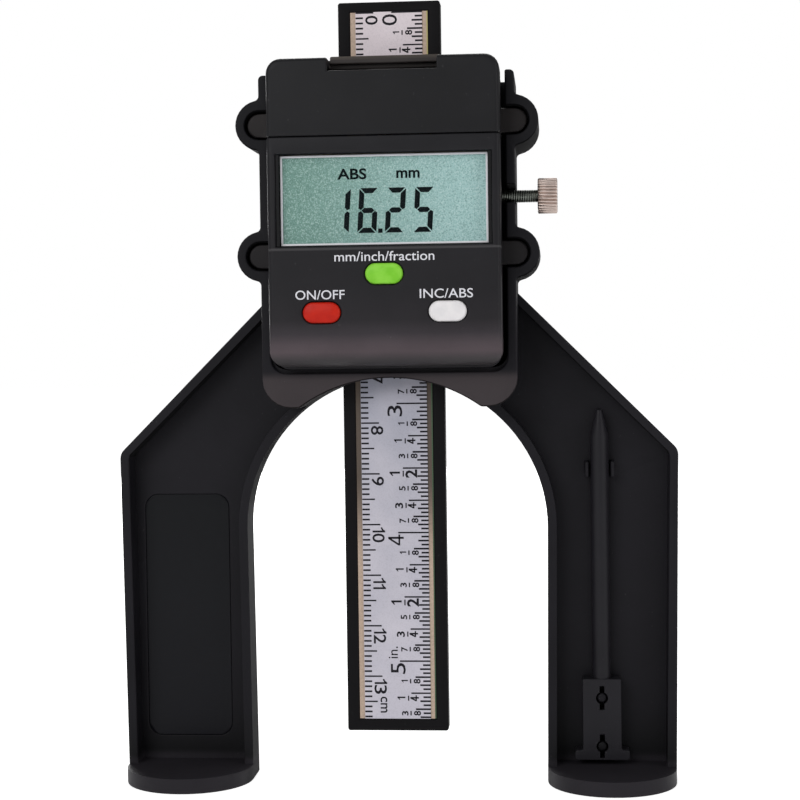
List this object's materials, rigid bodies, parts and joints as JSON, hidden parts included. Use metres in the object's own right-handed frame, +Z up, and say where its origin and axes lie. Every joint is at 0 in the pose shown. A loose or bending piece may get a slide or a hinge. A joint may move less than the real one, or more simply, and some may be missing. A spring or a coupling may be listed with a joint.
{
  "type": "digital depth gauge",
  "caption": "Self-standing digital depth gauge: arched two-legged stand, display head with buttons and lock knob, and a sliding measuring beam with printed scales.",
  "frame": {"origin": "on the surface that the feet stand on, at the centre of the gauge's outer box, below the beam", "axes": "+Z up along the beam, +X to the right as the display is read, -Y towards the reader, so the flat back faces +Y"},
  "size_m": [0.1116, 0.0276, 0.154],
  "materials": {
    "frame_plastic": "fine matte moulded black",
    "head_plastic": "satin charcoal",
    "panel_film": "smooth satin blue-black film",
    "magnet": "nickel plated",
    "screw_steel": "zinc plated",
    "cell_steel": "bright can",
    "contact_metal": "nickel plated spring",
    "lens": "clear acrylic",
    "lcd_white": "white frame",
    "lcd_glass": "grey-green liquid crystal",
    "grey_rubber": "conductive rubber",
    "circuit_board": "solder mask",
    "header_plastic": "matte",
    "button_green": "satin green",
    "button_red": "satin red",
    "button_white": "satin white",
    "beam_plastic": "matte black",
    "scale_board": "green mask with gold edge",
    "scale_label": "satin silver print",
    "brass": "turned",
    "knob_metal": "knurled nickel plate"
  },
  "bodies": {
    "root": {"board_screw_1": "screw_steel", "board_screw_2": "screw_steel", "board_screw_3": "screw_steel", "board_screw_4": "screw_steel", "case_screw_1": "screw_steel", "case_screw_2": "screw_steel", "case_screw_3": "screw_steel", "case_screw_4": "screw_steel", "cell_contact_rear": "contact_metal", "cell_contact_side": "contact_metal", "coin_cell": "cell_steel", "controller_chip": "header_plastic", "display_board": "circuit_board", "ear_screw_1": "screw_steel", "ear_screw_2": "screw_steel", "ear_screw_3": "screw_steel", "ear_screw_4": "screw_steel", "foot_magnet_1": "magnet", "foot_magnet_2": "magnet", "foot_magnet_3": "magnet", "foot_magnet_4": "magnet", "gib_spring": "contact_metal", "gib_strip": "brass", "head_back_plate": "frame_plastic", "head_cover": "head_plastic", "head_housing": "frame_plastic", "lcd_frame": "lcd_white", "lcd_lens": "lens", "lcd_panel": "lcd_glass", "link_header": "header_plastic", "lock_nut": "brass", "name_plate": "panel_film", "sensor_board": "circuit_board", "stand_frame": "frame_plastic", "switch_green": "grey_rubber", "switch_red": "grey_rubber", "switch_white": "grey_rubber", "zebra_strip_lower": "grey_rubber", "zebra_strip_upper": "grey_rubber"},
    "beam": {"scale_beam": "beam_plastic", "scale_board": "scale_board", "scale_label": "scale_label"},
    "green_button": {"button_green": "button_green"},
    "red_button": {"button_red": "button_red"},
    "white_button": {"button_white": "button_white"},
    "lock_pad": {"lock_pad": "brass"},
    "lock_screw": {"lock_screw": "screw_steel", "lock_knob": "knob_metal"},
    "battery_door": {"battery_door": "head_plastic"},
    "probe": {"depth_probe": "frame_plastic"}
  },
  "joints": [
    {"name": "beam_slide", "type": "slide", "parent": "root", "child": "beam", "axis": [0, 0, 1], "range_m": [-0.01105, 0.069]},
    {"name": "green_button_press", "type": "slide", "parent": "root", "child": "green_button", "axis": [0, 1, 0], "range_m": [0, 0.0006], "stiffness_N_per_m": 400, "springref_m": -0.0005},
    {"name": "red_button_press", "type": "slide", "parent": "root", "child": "red_button", "axis": [0, 1, 0], "range_m": [0, 0.0006], "stiffness_N_per_m": 400, "springref_m": -0.0005},
    {"name": "white_button_press", "type": "slide", "parent": "root", "child": "white_button", "axis": [0, 1, 0], "range_m": [0, 0.0006], "stiffness_N_per_m": 400, "springref_m": -0.0005},
    {"name": "lock_pad_slide", "type": "slide", "parent": "root", "child": "lock_pad", "axis": [-1, 0, 0], "range_m": [-0.0004, 0.00029]},
    {"name": "lock_screw_turn", "type": "hinge", "parent": "lock_pad", "child": "lock_screw", "pos_m": [0.03, 0.00336, 0.1158], "axis": [-1, 0, 0], "range_deg": [-321, 233]},
    {"name": "battery_door_slide", "type": "slide", "parent": "root", "child": "battery_door", "axis": [0, 0, 1], "range_m": [0, 0.0145]},
    {"name": "probe_pull", "type": "slide", "parent": "root", "child": "probe", "axis": [0, -1, 0], "range_m": [0, 0.012]}
  ],
  "couplings": [
    {"joint": "lock_screw_turn", "follows": "lock_pad_slide", "rad_per_m": 13963}
  ]
}
